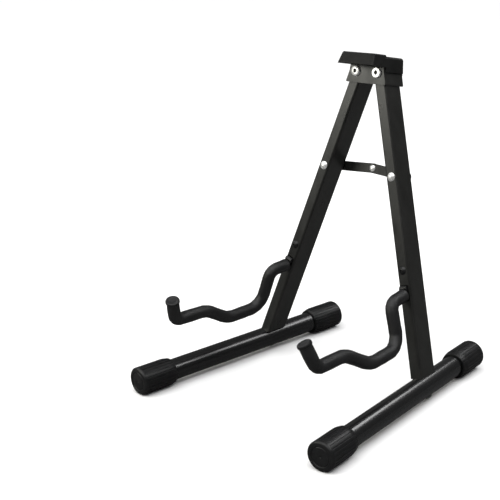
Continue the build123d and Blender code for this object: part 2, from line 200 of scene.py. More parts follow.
def select_faces(piece: Piece, chosen) -> None:
    """Selects the faces that a test picks, by place or normal.

    Args:
        piece: the piece, in object mode.
        chosen: a function of a polygon that says whether it is picked.
    """
    open_mesh(piece)
    for polygon in piece.data.polygons:
        polygon.select = bool(chosen(polygon))


def apply_modifier(piece: Piece, kind: str, **settings) -> None:
    """Adds a modifier to a piece and applies it.

    Args:
        piece: the piece.
        kind: the modifier's type.
        settings: its settings.
    """
    take_up(piece)
    modifier = piece.modifiers.new(kind.lower(), kind)
    for name, value in settings.items():
        setattr(modifier, name, value)
    bpy.ops.object.modifier_apply(modifier=modifier.name)


def bevel_edges(piece: Piece, width: float, angle: float) -> None:
    """Rounds a piece's edges that turn by more than an angle in degrees."""
    limit = {"limit_method": "ANGLE", "angle_limit": math.radians(angle)}
    apply_modifier(piece, "BEVEL", width=width, segments=2, **limit)


def bevel_chosen(piece: Piece, chosen, width: float, segments: int) -> None:
    """Rounds the edges that a test picks by their ends, and closes the mesh.

    Args:
        piece: the piece.
        chosen: a function of an edge's two ends that says whether it is picked.
        width: the bevel's width.
        segments: steps across the bevel.
    """
    open_mesh(piece, "EDGE")
    for line in piece.data.edges:
        line.select = bool(chosen(*(piece.data.vertices[i].co for i in line.vertices)))
    edit()
    bpy.ops.mesh.bevel(offset=width, segments=segments, affect="EDGES")
    close_mesh()


def smooth(piece: Piece, angle: float) -> None:
    """Shades a piece smooth, but for edges sharper than an angle in degrees."""
    take_up(piece)
    bpy.ops.object.shade_smooth_by_angle(angle=math.radians(angle))
    apply_modifier(piece, "WEIGHTED_NORMAL", keep_sharp=True)


def put_in_place(piece: Piece, matrix: Matrix) -> None:
    """Moves a piece to its place and keeps that place in its mesh.

    Args:
        piece: the piece, drawn about its own origin.
        matrix: its place in the stand's frame.
    """
    take_up(piece)
    piece.matrix_world = matrix
    bpy.context.view_layer.update()
    bpy.ops.object.transform_apply()


def both_sides(piece: Piece) -> tuple:
    """Makes the left-hand copy of a right-hand piece, with its own mesh.

    Args:
        piece: the right-hand piece, in place, with "right" in its name.

    Returns:
        Each side, with its piece.
    """
    take_up(piece)
    bpy.ops.object.duplicate(linked=False)
    copy = bpy.context.active_object
    copy.name = piece.name.replace("right", "left")
    copy.scale = (-1, 1, 1)
    bpy.ops.object.transform_apply(location=False, rotation=False, scale=True)
    open_mesh(copy)
    edit()
    close_mesh()
    return (Side.RIGHT, piece), (Side.LEFT, copy)


def block(name: str, low: tuple, high: tuple) -> Piece:
    """A block between two corners, its place in its mesh.

    Args:
        name: the block's name.
        low: its lowest corner.
        high: its highest corner.

    Returns:
        The block.
    """
    low, high = Vector(low), Vector(high)
    piece = fresh(name, bpy.ops.mesh.primitive_cube_add, size=1, location=(low + high) / 2, scale=high - low)
    bpy.ops.object.transform_apply()
    return piece


def combine(piece: Piece, other: Piece, how: str) -> None:
    """Joins or cuts one closed block with another, which is used up.

    Args:
        piece: the piece that stays.
        other: the piece that is used up.
        how: UNION or DIFFERENCE.
    """
    apply_modifier(piece, "BOOLEAN", operation=how, solver="EXACT", object=other)
    bpy.data.objects.remove(other, do_unlink=True)


def select_points(piece: Piece, chosen) -> None:
    """Selects the points that a test picks by place, and stays in edit mode.

    Args:
        piece: the piece.
        chosen: a function of a point's place that says whether it is picked.
    """
    open_mesh(piece, "VERT")
    for vertex in piece.data.vertices:
        vertex.select = bool(chosen(vertex.co))
    edit()


def taper_sides(piece: Piece, low: float, high: float, lean: float) -> None:
    """Leans a block's two sides in by an amount between two heights, and on at the same slope beyond.

    Args:
        piece: the block, its sides along X.
        low: the height where the sides stay.
        high: the height where each has moved in by lean.
        lean: how far each side moves in.
    """
    half = max(vertex.co.x for vertex in piece.data.vertices)
    levels = {round(vertex.co.z, 6) for vertex in piece.data.vertices}
    for level in sorted(levels):
        select_points(piece, lambda place: abs(place.z - level) < NEAR)
        narrow = 1 - lean * (level - low) / (high - low) / half
        bpy.ops.transform.resize(value=(narrow, 1, 1), center_override=(0, 0, 0))
        leave_edit()


Ring = tuple[float, float]                       # one ring of a turned piece: its radius and height


def turned(name: str, rings: list[Ring], sides: int) -> Piece:
    """Draws a closed round piece, as on a lathe, by extruding a disc from ring to ring.

    Args:
        name: the piece's name.
        rings: the profile's rings, in order; the first and last are closed by discs.
        sides: how many sides the piece has.

    Returns:
        The piece, about the Z axis.
    """
    start, base = rings[0]
    piece = fresh(name, bpy.ops.mesh.primitive_circle_add, vertices=sides, radius=start, fill_type="NGON")
    edit()
    bpy.ops.mesh.select_all(action="SELECT")
    bpy.ops.transform.translate(value=(0, 0, base))
    for (before, low), (after, high) in zip(rings, rings[1:]):
        bpy.ops.mesh.extrude_region_move(TRANSFORM_OT_translate={"value": (0, 0, high - low)})
        grow = after / before
        bpy.ops.transform.resize(value=(grow, grow, 1), center_override=(0, 0, 0))
    close_mesh()
    return piece


@dataclass(frozen=True)
class Station:
    """One section of a bent round piece: its centre and heading in the XY plane, and its radius."""

    x: float
    y: float
    heading: float
    radius: float


def lofted(name: str, stations: list[Station], sides: int) -> Piece:
    """Draws an open round skin through a row of sections, by bridging rings.

    Args:
        name: the piece's name.
        stations: the sections, in order along the piece.
        sides: how many sides each section has.

    Returns:
        The skin, open at both ends.
    """
    deselect_all()
    for number, station in enumerate(stations):
        bpy.ops.mesh.primitive_circle_add(
            vertices=sides,
            radius=station.radius,
            location=(station.x, station.y, 0),
            rotation=(0, math.pi / 2, station.heading),
        )
        if number == 0:
            piece = bpy.context.active_object
            piece.name = name
            bpy.ops.object.transform_apply()
            edit()
            bpy.ops.mesh.select_mode(type="EDGE")
    bpy.ops.mesh.select_all(action="SELECT")
    bpy.ops.mesh.bridge_edge_loops(type="SINGLE")
    close_mesh()
    return piece


# -------- shader groups and finishes

SOCKET_KINDS = {"Vector": "Vector", "Color": "Color", "Scuff Color": "Color", "Dark": "Color", "Light": "Color"}
MIX_A, MIX_B, MIX_RESULT = 6, 7, 2               # a Mix node's sockets when it mixes colours
WHITE = (1, 1, 1, 1)

Tone = tuple[float, float, float]


def set_sockets(node: bpy.types.Node, values: dict) -> None:
    """Sets the values of a node's input sockets, each by its name."""
    for socket, value in values.items():
        node.inputs[socket].default_value = value


def add_node(tree: Tree, kind: str, values: dict | None = None, **settings) -> bpy.types.Node:
    """Adds a shader node.

    Args:
        tree: the tree that it goes in.
        kind: its type, without the leading ShaderNode.
        values: the values of its input sockets.
        settings: its own settings.

    Returns:
        The node.
    """
    node = tree.nodes.new(f"ShaderNode{kind}")
    for name, value in settings.items():
        setattr(node, name, value)
    set_sockets(node, values or {})
    return node


def join(tree: Tree, *wires: tuple) -> None:
    """Links nodes.

    Args:
        tree: the tree that they are in.
        wires: for each link, a node, its output, the next node and its input.
    """
    for source, output, target, socket in wires:
        tree.links.new(source.outputs[output], target.inputs[socket])


def split_by_ray(tree: Tree, ray: str, plain, special, last: str) -> None:
    """Gives the rays of one kind a shader of their own.

    Args:
        tree: the material's or the world's tree.
        ray: the kind of ray, as the Light Path node names it.
        plain: the shader for all other rays.
        special: the shader for these rays.
        last: the name of the tree's output node.
    """
    rays = add_node(tree, "LightPath")
    choice = add_node(tree, "MixShader")
    join(
        tree,
        (rays, ray, choice, "Fac"),
        (plain, 0, choice, 1),
        (special, 0, choice, 2),
        (choice, "Shader", tree.nodes[last], "Surface"),
    )


class Groups:
    """The shader node groups that several materials share, each built once."""

    def __init__(self) -> None:
        """Builds the three groups."""
        self.grain = self.build_grain()
        self.tone = self.build_tone()
        self.scuffs = self.build_scuffs()

    @staticmethod
    def start(name: str, inputs: tuple[str, ...], outputs: tuple[str, ...]) -> tuple:
        """Makes an empty group with named sockets, plain numbers but for those in SOCKET_KINDS.

        Args:
            name: the group's name.
            inputs: the names of its inputs.
            outputs: the names of its outputs.

        Returns:
            The group, its input node and its output node.
        """
        tree = bpy.data.node_groups.new(name, "ShaderNodeTree")
        for way, labels in (("INPUT", inputs), ("OUTPUT", outputs)):
            for label in labels:
                kind = f"NodeSocket{SOCKET_KINDS.get(label, 'Float')}"
                tree.interface.new_socket(name=label, in_out=way, socket_type=kind)
        return tree, tree.nodes.new("NodeGroupInput"), tree.nodes.new("NodeGroupOutput")

    def build_grain(self) -> Tree:
        """Fine relief: a soft ripple with a finer grain over it.

        Returns:
            The group, from a vector to a height.
        """
        tree, given, made = self.start(
            "fine_grain",
            ("Vector", "Ripple Scale", "Grain Scale", "Grain Share"),
            ("Height",),
        )
        ripple = add_node(tree, "TexNoise", {"Detail": 2.0})
        grain = add_node(tree, "TexNoise", {"Detail": 3.0})
        mix = add_node(tree, "Mix", data_type="FLOAT")
        join(
            tree,
            (given, "Vector", ripple, "Vector"),
            (given, "Vector", grain, "Vector"),
            (given, "Ripple Scale", ripple, "Scale"),
            (given, "Grain Scale", grain, "Scale"),
            (given, "Grain Share", mix, "Factor"),
            (ripple, "Fac", mix, "A"),
            (grain, "Fac", mix, "B"),
            (mix, "Result", made, "Height"),
        )
        return tree

    def build_tone(self) -> Tree:
        """Slow drift between two tones, and a roughness that drifts with it.

        Returns:
            The group, from a vector and two tones to a colour and a roughness.
        """
        tree, given, made = self.start(
            "tone_drift",
            ("Vector", "Scale", "Dark", "Light", "Smooth", "Rough"),
            ("Color", "Roughness"),
        )
        noise = add_node(tree, "TexNoise", {"Detail": 5.0, "Roughness": 0.6})
        spread = add_node(tree, "MapRange", {"From Min": 0.3, "From Max": 0.7})
        colour = add_node(tree, "Mix", data_type="RGBA")
        rough = add_node(tree, "Mix", data_type="FLOAT")
        join(
            tree,
            (given, "Vector", noise, "Vector"),
            (given, "Scale", noise, "Scale"),
            (noise, "Fac", spread, "Value"),
            (spread, "Result", colour, "Factor"),
            (spread, "Result", rough, "Factor"),
            (given, "Dark", colour, MIX_A),
            (given, "Light", colour, MIX_B),
            (given, "Smooth", rough, "A"),
            (given, "Rough", rough, "B"),
            (colour, MIX_RESULT, made, "Color"),
            (rough, "Result", made, "Roughness"),
        )
        return tree

    def build_scuffs(self) -> Tree:
        """Sparse fine scuffs that lighten and roughen a surface.

        Returns:
            The group, from a vector, a colour and a roughness to the same two, scuffed.
        """
        tree, given, made = self.start(
            "light_scuffs",
            ("Vector", "Scale", "Amount", "Color", "Scuff Color", "Roughness"),
            ("Color", "Roughness"),
        )
        patches = add_node(tree, "TexNoise", {"Detail": 8.0, "Roughness": 0.75})
        few = add_node(tree, "MapRange", {"From Min": 0.62, "From Max": 0.78})
        weigh = add_node(tree, "Math", operation="MULTIPLY")
        colour = add_node(tree, "Mix", data_type="RGBA")
        roughen = add_node(tree, "Math", {1: 0.35}, operation="MULTIPLY_ADD")
        join(
            tree,
            (given, "Vector", patches, "Vector"),
            (given, "Scale", patches, "Scale"),
            (patches, "Fac", few, "Value"),
            (few, "Result", weigh, 0),
            (given, "Amount", weigh, 1),
            (weigh, "Value", colour, "Factor"),
            (given, "Color", colour, MIX_A),
            (given, "Scuff Color", colour, MIX_B),
            (weigh, "Value", roughen, 0),
            (given, "Roughness", roughen, 2),
            (colour, MIX_RESULT, made, "Color"),
            (roughen, "Value", made, "Roughness"),
        )
        return tree


@dataclass(frozen=True)
class Finish:
    """A finish: its tones, gloss, relief and scuffs.

    Drift, ripple, grain and scuff grain are how fine each pattern is, and relief is its depth in metres.
    """

    name: str
    surface: Surface
    dark: Tone
    light: Tone
    smooth: float
    rough: float
    drift: float
    ripple: float
    grain: float
    grain_share: float
    relief: float
    scuff: Tone = (0.2, 0.2, 0.2)
    scuff_grain: float = 120.0
    scuffed: float = 0.0
    metallic: float = 0.0
    specular: float = 0.5
    coat: float = 0.0
    coat_roughness: float = 0.1
    stretch: Tone = (1.0, 1.0, 1.0)

    def build(self, groups: Groups) -> Material:
        """Builds the material.

        Args:
            groups: the shared node groups.

        Returns:
            The material.
        """
        material = bpy.data.materials.new(self.name)
        material.use_nodes = True
        tree = material.node_tree
        shader = tree.nodes["Principled BSDF"]
        place = add_node(tree, "TexCoord")
        mapping = add_node(tree, "Mapping", {"Scale": self.stretch})
        tones = {"Dark": (*self.dark, 1), "Light": (*self.light, 1), "Smooth": self.smooth, "Rough": self.rough}
        tone = add_node(tree, "Group", {"Scale": self.drift, **tones}, node_tree=groups.tone)
        marks = {"Scale": self.scuff_grain, "Amount": self.scuffed, "Scuff Color": (*self.scuff, 1)}
        scuffs = add_node(tree, "Group", marks, node_tree=groups.scuffs)
        bump = add_node(tree, "Bump", {"Strength": 1.0, "Distance": self.relief})
        relief, height = self.build_relief(tree, groups, mapping)
        join(
            tree,
            (place, "Object", mapping, "Vector"),
            (mapping, "Vector", tone, "Vector"),
            (mapping, "Vector", scuffs, "Vector"),
            (tone, "Color", scuffs, "Color"),
            (tone, "Roughness", scuffs, "Roughness"),
            (scuffs, "Color", shader, "Base Color"),
            (scuffs, "Roughness", shader, "Roughness"),
            (relief, height, bump, "Height"),
            (bump, "Normal", shader, "Normal"),
        )
        shader.inputs["Metallic"].default_value = self.metallic
        shader.inputs["Specular IOR Level"].default_value = self.specular
        shader.inputs["Coat Weight"].default_value = self.coat
        shader.inputs["Coat Roughness"].default_value = self.coat_roughness
        return material

    def build_relief(self, tree: Tree, groups: Groups, mapping: bpy.types.Node) -> tuple:
        """Makes the relief under the finish: fine grain, and open cells with it on foam.

        Args:
            tree: the material's tree.
            groups: the shared node groups.
            mapping: the node that gives the place on the surface.

        Returns:
            The node that carries the height, and its output's name.
        """
        scales = {"Ripple Scale": self.ripple, "Grain Scale": self.grain}
        grain = add_node(tree, "Group", {**scales, "Grain Share": self.grain_share}, node_tree=groups.grain)
        join(tree, (mapping, "Vector", grain, "Vector"))
        if self.surface is not Surface.FOAM:
            return grain, "Height"
        cells = add_node(tree, "TexVoronoi", {"Scale": self.grain})
        both = add_node(tree, "Math", operation="ADD")
        join(
            tree,
            (mapping, "Vector", cells, "Vector"),
            (cells, "Distance", both, 0),
            (grain, "Height", both, 1),
        )
        return both, "Value"


LEG_COAT = Finish(
    "leg_powder_coat", Surface.POWDER_COAT,
    dark=(0.0050, 0.0052, 0.0045), light=(0.0090, 0.0092, 0.0080),
    smooth=0.26, rough=0.4,
    drift=75.0, ripple=700.0, grain=2600.0, grain_share=0.45, relief=0.0001,
    scuff=(0.05, 0.05, 0.048), scuff_grain=90.0, scuffed=0.1, stretch=(1.0, 1.0, 0.3),
)
TUBE_COAT = Finish(
    "foot_tube_gloss_coat", Surface.POWDER_COAT,
    dark=(0.0032, 0.0034, 0.0035), light=(0.005, 0.0052, 0.0054),
    smooth=0.2, rough=0.28, coat=0.3, coat_roughness=0.18, specular=0.42,
    drift=35.0, ripple=420.0, grain=1800.0, grain_share=0.2, relief=0.00004,
    scuff=(0.05, 0.05, 0.05), scuff_grain=110.0, scuffed=0.06, stretch=(1.0, 0.3, 1.0),
)
BRIGHT_BOLT = Finish(
    "bright_plated_bolt", Surface.PLATED,
    dark=(0.88, 0.88, 0.87), light=(0.96, 0.96, 0.95),
    smooth=0.34, rough=0.44, metallic=0.8,
    drift=260.0, ripple=900.0, grain=5200.0, grain_share=0.6, relief=0.00001,
    scuff=(0.7, 0.7, 0.69), scuff_grain=500.0, scuffed=0.25,
)
ZINC = Finish(
    "zinc_plate", Surface.PLATED,
    dark=(0.52, 0.53, 0.54), light=(0.68, 0.68, 0.67),
    smooth=0.28, rough=0.42, metallic=1.0,
    drift=180.0, ripple=800.0, grain=4200.0, grain_share=0.5, relief=0.00002,
    scuff=(0.4, 0.4, 0.4), scuff_grain=400.0, scuffed=0.3,
)
# Real black oxide on the hinge screws; the pivot bolts' sockets use it too, as painted shade in the recess.
BLACK_OXIDE_AND_SOCKET_SHADE = Finish(
    "black_oxide_and_socket_shade", Surface.PLATED,
    dark=(0.003, 0.003, 0.0033), light=(0.006, 0.006, 0.0064),
    smooth=0.3, rough=0.42, specular=0.35,
    drift=300.0, ripple=900.0, grain=4000.0, grain_share=0.4, relief=0.00001,
    scuff=(0.05, 0.05, 0.05), scuff_grain=400.0, scuffed=0.2,
)
NYLON = Finish(
    "natural_nylon", Surface.MOULDED,
    dark=(0.62, 0.60, 0.55), light=(0.72, 0.70, 0.65),
    smooth=0.35, rough=0.5,
    drift=200.0, ripple=900.0, grain=3800.0, grain_share=0.5, relief=0.00002,
)
PAD_RUBBER = Finish(
    "head_pad_rubber", Surface.MOULDED,
    dark=(0.0035, 0.0035, 0.0034), light=(0.0065, 0.0065, 0.0062),
    smooth=0.42, rough=0.55, specular=0.2,
    drift=60.0, ripple=1100.0, grain=3600.0, grain_share=0.6, relief=0.00010,
    scuff=(0.045, 0.045, 0.045), scuff_grain=160.0, scuffed=0.3,
)
CAP_RUBBER = Finish(
    "foot_cap_rubber", Surface.MOULDED,
    dark=(0.0035, 0.0036, 0.0038), light=(0.007, 0.0072, 0.0076),
    smooth=0.3, rough=0.42, specular=0.28,
    drift=90.0, ripple=1200.0, grain=3800.0, grain_share=0.6, relief=0.00008,
    scuff=(0.04, 0.04, 0.04), scuff_grain=200.0, scuffed=0.35,
)
SLEEVE_FOAM = Finish(
    "arm_sleeve_foam", Surface.FOAM,
    dark=(0.0045, 0.0045, 0.0047), light=(0.0085, 0.0085, 0.009),
    smooth=0.36, rough=0.48, specular=0.36,
    drift=70.0, ripple=500.0, grain=1500.0, grain_share=0.35, relief=0.00016,
    scuff=(0.04, 0.04, 0.04), scuff_grain=180.0, scuffed=0.3,
)

SLOT_FINISHES = {
    "frame_coat": LEG_COAT,
    "bright_bolt": BRIGHT_BOLT,
    "zinc": ZINC,
    "black_screw": BLACK_OXIDE_AND_SOCKET_SHADE,
    "nylon": NYLON,
    "head_rubber": PAD_RUBBER,
    "cap_rubber": CAP_RUBBER,
    "foam": SLEEVE_FOAM,
}


class PaintShop:
    """Builds each finish once and hands out its material."""

    def __init__(self) -> None:
        """Builds the shared groups."""
        self.groups = Groups()
        self.made: dict[str, Material] = {}

    def material(self, finish: Finish) -> Material:
        """The material of a finish, made when first asked for."""
        if finish.name not in self.made:
            self.made[finish.name] = finish.build(self.groups)
        return self.made[finish.name]

    def dress(self, piece: Piece, finish: Finish) -> None:
        """Gives a piece one finish all over.

        Args:
            piece: the piece.
            finish: its finish.
        """
        if not piece.material_slots:
            piece.data.materials.append(None)
        for slot in piece.material_slots:
            slot.material = self.material(finish)

    def dress_cad_nodes(self) -> None:
        """Gives every carried-over CAD node the finish of its slot."""
        for part in frame["record"]["subparts"]:
            finish = SLOT_FINISHES[part["material_slot"]]
            if "foot_tube" in part["node"]:
                finish = TUBE_COAT
            self.dress(frame["nodes"][part["node"]], finish)
            log.info("dressed %s in %s", part["node"], finish.name)


def fit_out(piece: Piece, node: str, body: str) -> None:
    """Says what a finished piece stands for and what it moves with.

    Args:
        piece: the finished piece, in place.
        node: the CAD node that it stands for.
        body: the body that it rides on.
    """
    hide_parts(node)
    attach(piece, body)
    triangles = sum(len(polygon.vertices) - 2 for polygon in piece.data.polygons)
    log.info("%s stands for %s on %s, %d triangles", piece.name, node, body, triangles)


# -------- foot caps


@dataclass
class FootCap:
    """A push-on rubber cap with lengthways ribs, a rounded rim and a ring on its end."""

    radius: float = 0.0145
    mouth_radius: float = 0.0129
    mouth_edge: float = 0.0004
    bore_radius: float = 0.01105
    length: float = 0.041
    band: float = 0.034
    end_wall: float = 0.0035
    rim_round: float = 0.0024
    disc_radius: float = 0.0094
    disc_sink: float = 0.0002
    ring_groove: float = 0.0006
    dimple_radius: float = 0.0010
    dimple_depth: float = 0.0009
    ribs: int = 26
    sides_per_rib: int = 4
    rib_depth: float = 0.00055
    rib_start: float = 0.0036
    soft_edge: float = 0.00018

    def profile(self) -> list[Ring]:
        """The cap's rings, from the dimple on its end, over the outside and down its bore.

        Returns:
            The rings in order.
        """
        steps = 5
        rim, groove, disc, dimple = self.rim_round, self.ring_groove, self.disc_radius, self.dimple_radius
        quarter = [math.pi / 2 * k / steps for k in range(1, steps + 1)]
        return [
            (dimple * 0.6, self.dimple_depth),
            (dimple, self.disc_sink * 1.5),
            (dimple * 1.3, self.disc_sink),
            (disc - groove, self.disc_sink),
            (disc - groove / 2, groove),
            (disc + groove / 2, groove),
            (disc + groove, 0.0),
            (self.radius - rim, 0.0),
            *((self.radius - rim * (1 - math.sin(a)), rim * (1 - math.cos(a))) for a in quarter),
            (self.radius, self.rib_start),
            (self.radius, self.band),
            (self.radius * 0.985, self.band + 0.0016),
            (self.mouth_radius + self.mouth_edge, self.length - self.mouth_edge * 1.5),
            (self.mouth_radius, self.length),
            (self.bore_radius, self.length),
            (self.bore_radius, self.end_wall),
        ]

    def cut_ribs(self, cap: Piece) -> None:
        """Sinks the grooves between the ribs.

        Args:
            cap: the turned cap.
        """
        sides = self.ribs * self.sides_per_rib

        def in_groove(polygon: bpy.types.MeshPolygon) -> bool:
            """Whether a face lies in a groove."""
            centre = polygon.center
            outside = math.hypot(centre.x, centre.y) > self.bore_radius + 0.001
            along = self.rib_start < centre.z < self.length - 0.001
            turn = math.atan2(centre.y, centre.x) / (2 * math.pi) * sides
            return outside and along and math.floor(turn) % self.sides_per_rib == 0

        select_faces(cap, in_groove)
        edit()
        bpy.ops.mesh.extrude_region_shrink_fatten(TRANSFORM_OT_shrink_fatten={"value": -self.rib_depth})
        close_mesh()

    def model(self, name: str) -> Piece:
        """Models one cap about the Z axis, its closed end at the origin.

        Args:
            name: the piece's name.

        Returns:
            The cap.
        """
        cap = turned(name, self.profile(), self.ribs * self.sides_per_rib)
        self.cut_ribs(cap)
        bevel_edges(cap, self.soft_edge, angle=40)
        smooth(cap, 40)
        return cap


@dataclass
class Feet:
    """The four rubber foot caps, on the ends of the two foot tubes."""

    shop: PaintShop
    cap: FootCap = field(default_factory=FootCap)

    def tube_axis(self) -> tuple[Vector, Vector]:
        """The right foot tube's ends.

        Returns:
            The centres of the front and rear end faces of the tube.
        """
        tube = frame["nodes"]["right_foot_tube"].data.vertices
        ends = []
        for pick in (min, max):
            limit = pick(v.co.y for v in tube)
            near = [v.co for v in tube if abs(v.co.y - limit) < 0.006]
            ends.append(sum(near, Vector()) / len(near))
        direction = (ends[1] - ends[0]).normalized()
        reach = [v.co.dot(direction) for v in tube]
        middle = (ends[0] + ends[1]) / 2
        start = middle + direction * (min(reach) - middle.dot(direction))
        stop = middle + direction * (max(reach) - middle.dot(direction))
        return start, stop

    def build(self) -> None:
        """Models and places the caps."""
        start, stop = self.tube_axis()
        along = (stop - start).normalized()
        for end, tip, inward in ((End.FRONT, start, along), (End.REAR, stop, -along)):
            across = inward.cross(Vector((0, 0, 1))).normalized()
            piece = self.cap.model(f"right_{end.value}_foot_cap")
            place = frame_matrix(tip - inward * self.cap.end_wall, across, inward.cross(across), inward)
            put_in_place(piece, place)
            for side, cap in both_sides(piece):
                self.shop.dress(cap, CAP_RUBBER)
                fit_out(cap, f"{side.value}_{end.value}_cap", f"{side.value}_leg")


# -------- arms


@dataclass
class ArmPath:
    """The arm's centre line in its own plane: X forward, Y down, from the arm's root."""

    corners: tuple = (
        (0.0260, 0.0014),
        (0.0325, 0.0438),
        (0.0795, 0.0434),
        (0.1115, 0.0229),
        (0.1525, 0.0206),
        (0.1586, -0.0028),
    )
    bends: tuple = (0.010, 0.018, 0.032, 0.030, 0.0095)
    start: float = 0.003
    arc_step: float = 9.0
    run_step: float = 0.006

    def stations(self, radius: float) -> list[Station]:
        """The sections of a round sleeve along the path, closer together in its bends.

        Args:
            radius: the sleeve's outer radius.

        Returns:
            The sections in order.
        """
        points = [Vector(c) for c in self.corners]
        points.insert(0, points[0].normalized() * self.start)
        found: list[tuple[Vector, float]] = []
        cursor = points[0]
        for before, corner, after, bend in zip(points, points[1:], points[2:], self.bends):
            inward = (corner - before).normalized()
            outward = (after - corner).normalized()
            turn = inward.angle_signed(outward) * -1
            reach = bend * math.tan(abs(turn) / 2)
            self.add_run(found, cursor, corner - inward * reach)
            self.add_arc(found, corner - inward * reach, inward, turn, bend)
            cursor = corner + outward * reach
        self.add_run(found, cursor, points[-1])
        last = (points[-1] - cursor).normalized()
        found.append((points[-1], math.atan2(last.y, last.x)))
        return [Station(p.x, p.y, heading, radius) for p, heading in found]

    def add_run(self, found: list, start: Vector, stop: Vector) -> None:
        """Adds the sections of a straight run, but for its last.

        Args:
            found: the sections so far.
            start: where the run starts.
            stop: where it stops.
        """
        run = stop - start
        heading = math.atan2(run.y, run.x)
        count = max(1, round(run.length / self.run_step))
        found.extend((start + run * (k / count), heading) for k in range(count))

    def add_arc(self, found: list, start: Vector, heading: Vector, turn: float, bend: float) -> None:
        """Adds the sections of a bend, but for its last.

        Args:
            found: the sections so far.
            start: where the bend starts.
            heading: the direction there.
            turn: the angle it turns through, positive from X to Y.
            bend: its radius.
        """
        way = 1 if turn > 0 else -1
        centre = start + Vector((-heading.y, heading.x)) * bend * way
        first = math.atan2(heading.y, heading.x)
        count = max(2, math.ceil(abs(math.degrees(turn)) / self.arc_step))
        for k in range(count):
            angle = first + turn * k / count
            normal = Vector((-math.sin(angle), math.cos(angle))) * way
            found.append((centre - normal * bend, angle))


@dataclass
class ArmSleeve:
    """The foam sleeve on one arm, and the rubber cap on its end."""

    shop: PaintShop
    path: ArmPath = field(default_factory=ArmPath)
    droop: float = math.radians(13.0)
    hinge_rise: float = 0.0058
    radius: float = 0.0066
    rod_room: float = 0.00408
    sides: int = 40
    swell: float = 0.00012
    end_round: float = 0.0009
    tip_radius: float = 0.0072
    tip_height: float = 0.0032

    def place(self) -> Matrix:
        """The right arm's own frame: X forward along it, Y down, Z outwards.

        Returns:
            The placing matrix.
        """
        pin, axis = joint("right_arm_fold")
        outward = -axis
        leg_up = outward.cross(-FORWARD)
        forward = FORWARD * math.cos(self.droop) - leg_up * math.sin(self.droop)
        down = outward.cross(forward)
        root = pin + down * self.hinge_rise
        return frame_matrix(root, forward, down, outward)

    def sections(self) -> list[Station]:
        """The sleeve's sections: rounded at its root, and very slightly uneven, as foam is.

        Returns:
            The sections in order.
        """
        plain = self.path.stations(self.radius)
        uneven = [
            replace(s, radius=s.radius - self.swell * (1 + math.sin(2.1 * k + 0.6 * math.sin(k))))
            for k, s in enumerate(plain)
        ]
        first, end = plain[0], self.end_round
        ahead = Vector((math.cos(first.heading), math.sin(first.heading)))

        def near_root(share: float) -> Station:
            """The section at a share of the way along the rounded root."""
            inset = end * (1 - math.sqrt(1 - (1 - share) ** 2))
            place = Vector((first.x, first.y)) + ahead * (end * share)
            return Station(place.x, place.y, first.heading, self.radius - inset)

        return [near_root(share) for share in (0.0, 0.3, 0.65, 1.0)] + uneven[1:]

    def build_sleeve(self) -> Piece:
        """Models the right sleeve: a lofted skin, given its wall inwards.

        Returns:
            The sleeve, in place.
        """
        sleeve = lofted("right_arm_foam", self.sections(), self.sides)
        apply_modifier(sleeve, "SOLIDIFY", thickness=self.radius - self.rod_room, offset=-1)
        smooth(sleeve, 60)
        put_in_place(sleeve, self.place())
        return sleeve

    def build_tip(self) -> Piece:
        """Models the right arm's end cap: a thick disc with a soft rim and a shallow dish.

        Returns:
            The cap, in place.
        """
        last = self.path.stations(self.radius)[-1]
        rim, flat, dish = 0.0011, 0.0003, 0.00035
        tip = turned(
            "right_arm_end_cap",
            [
                (self.tip_radius - flat, 0.0),
                (self.tip_radius, flat),
                (self.tip_radius, self.tip_height - rim),
                (self.tip_radius - rim * 0.3, self.tip_height - rim * 0.3),
                (self.tip_radius - rim, self.tip_height),
                (self.tip_radius - 2 * rim, self.tip_height),
                (self.tip_radius - 2.6 * rim, self.tip_height - dish),
                (self.tip_radius - 5 * rim, self.tip_height - dish),
            ],
            self.sides,
        )
        bevel_edges(tip, 0.00012, angle=25)
        smooth(tip, 40)
        ahead = Vector((math.cos(last.heading), math.sin(last.heading), 0))
        across = Vector((0, 0, 1))
        local = frame_matrix(Vector((last.x, last.y, 0)), across, ahead.cross(across), ahead)
        put_in_place(tip, self.place() @ local)
        return tip

    def build(self) -> None:
        """Models, mirrors and dresses both sleeves and their end caps."""
        for piece, finish, slot, node, padded in (
            (self.build_sleeve(), SLEEVE_FOAM, "foam", "arm_sleeve", True),
            (self.build_tip(), CAP_RUBBER, "cap_rubber", "arm_tip", False),
        ):
            for side, copy in both_sides(piece):
                self.shop.dress(copy, finish)
                fit_out(copy, f"{side.value}_{node}", f"{side.value}_arm")


# -------- head pad


